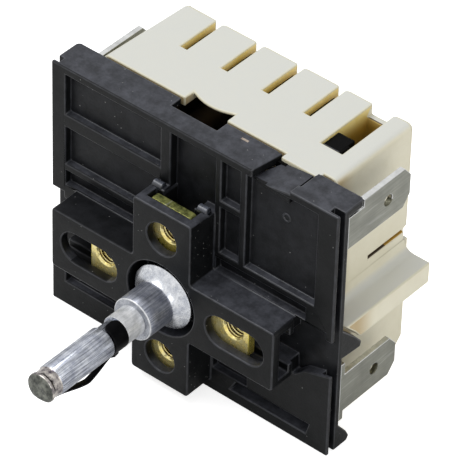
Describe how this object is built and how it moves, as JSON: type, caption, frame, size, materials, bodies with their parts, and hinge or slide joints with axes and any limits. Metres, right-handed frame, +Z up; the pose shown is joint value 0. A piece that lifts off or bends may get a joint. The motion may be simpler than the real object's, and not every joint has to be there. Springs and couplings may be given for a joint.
{
  "type": "infinite switch",
  "caption": "Rotary energy regulator for a cooktop element: black cross-boss front cover, ivory body, blade terminals, D-shaft and an inner cam, lever, heater and contact blades.",
  "frame": {"origin": "where the shaft's axis meets the front face of the cover's boss", "axes": "+X to the right seen from the front, +Y to the rear along the shaft's axis, +Z up towards the top of the cover; the shaft reaches out along -Y"},
  "size_m": [0.048, 0.0497, 0.0405],
  "materials": {
    "cover_black": "matt moulded thermoset, dusty",
    "body_ivory": "smooth moulded ivory",
    "nut_plating": "yellow zinc plating",
    "terminal_tin": "dull tin plating",
    "plain_steel": "bright drawn steel",
    "spring_steel": "spring wire",
    "contact_silver": "silver face",
    "cam_moulding": "moulded nylon",
    "shaft_steel": "drawn, with fine lengthwise lines",
    "collar_steel": "turned, scratched lengthwise",
    "clip_black": "black",
    "lever_metal": "pressed and plated",
    "bimetal": "rolled two-layer strip",
    "heater_sleeve": "matt fired sleeve with winding",
    "spring_bronze": "rolled bronze strip",
    "button_moulding": "moulded insulator"
  },
  "bodies": {
    "housing": {"front_cover": "cover_black", "rear_body": "body_ivory", "mount_nut_top": "nut_plating", "mount_nut_bottom": "nut_plating", "mount_nut_left": "nut_plating", "mount_nut_right": "nut_plating", "terminal_upper_right": "terminal_tin", "terminal_lower_right": "terminal_tin", "terminal_upper_left": "terminal_tin", "terminal_lower_left": "terminal_tin", "terminal_pilot": "terminal_tin", "lever_pin": "plain_steel", "return_spring": "spring_steel", "main_fixed_contact": "contact_silver", "line_fixed_contact": "contact_silver"},
    "cam_body": {"cam": "cam_moulding"},
    "shaft_body": {"shaft": "shaft_steel", "shaft_collar": "collar_steel", "shaft_clip": "clip_black", "retaining_ring": "spring_steel"},
    "lever_body": {"follower_lever": "lever_metal", "bimetal_strip": "bimetal", "bimetal_rivet": "plain_steel", "heater_block": "heater_sleeve"},
    "main_blade_body": {"main_contact_blade": "spring_bronze", "main_moving_contact": "contact_silver"},
    "line_blade_body": {"line_contact_blade": "spring_bronze", "line_moving_contact": "contact_silver", "line_button": "button_moulding"}
  },
  "joints": [
    {"name": "cam_turn", "type": "hinge", "parent": "housing", "child": "cam_body", "pos_m": [0, 0, 0], "axis": [0, 1, 0], "range_deg": [0, 300]},
    {"name": "shaft_push", "type": "slide", "parent": "cam_body", "child": "shaft_body", "axis": [0, 1, 0], "range_m": [0, 0.002], "stiffness_N_per_m": 400, "springref_m": -0.003, "deforming": ["return_spring"]},
    {"name": "lever_lift", "type": "hinge", "parent": "housing", "child": "lever_body", "pos_m": [-0.0125, 0.0127, 0.009], "axis": [0, -1, 0], "range_deg": [0, 9.25]},
    {"name": "main_blade_flex", "type": "hinge", "parent": "housing", "child": "main_blade_body", "pos_m": [-0.0116, 0.0138, 0.0156], "axis": [0, 1, 0], "range_deg": [0, 2.5], "stiffness_Nm_per_rad": 0.002},
    {"name": "line_blade_flex", "type": "hinge", "parent": "housing", "child": "line_blade_body", "pos_m": [-0.0116, 0.0138, -0.01], "axis": [0, 1, 0], "range_deg": [0, 2.2], "stiffness_Nm_per_rad": 0.002}
  ],
  "couplings": [
    {"joint": "lever_lift", "follows": "cam_turn", "ratio": 0.030667}
  ]
}
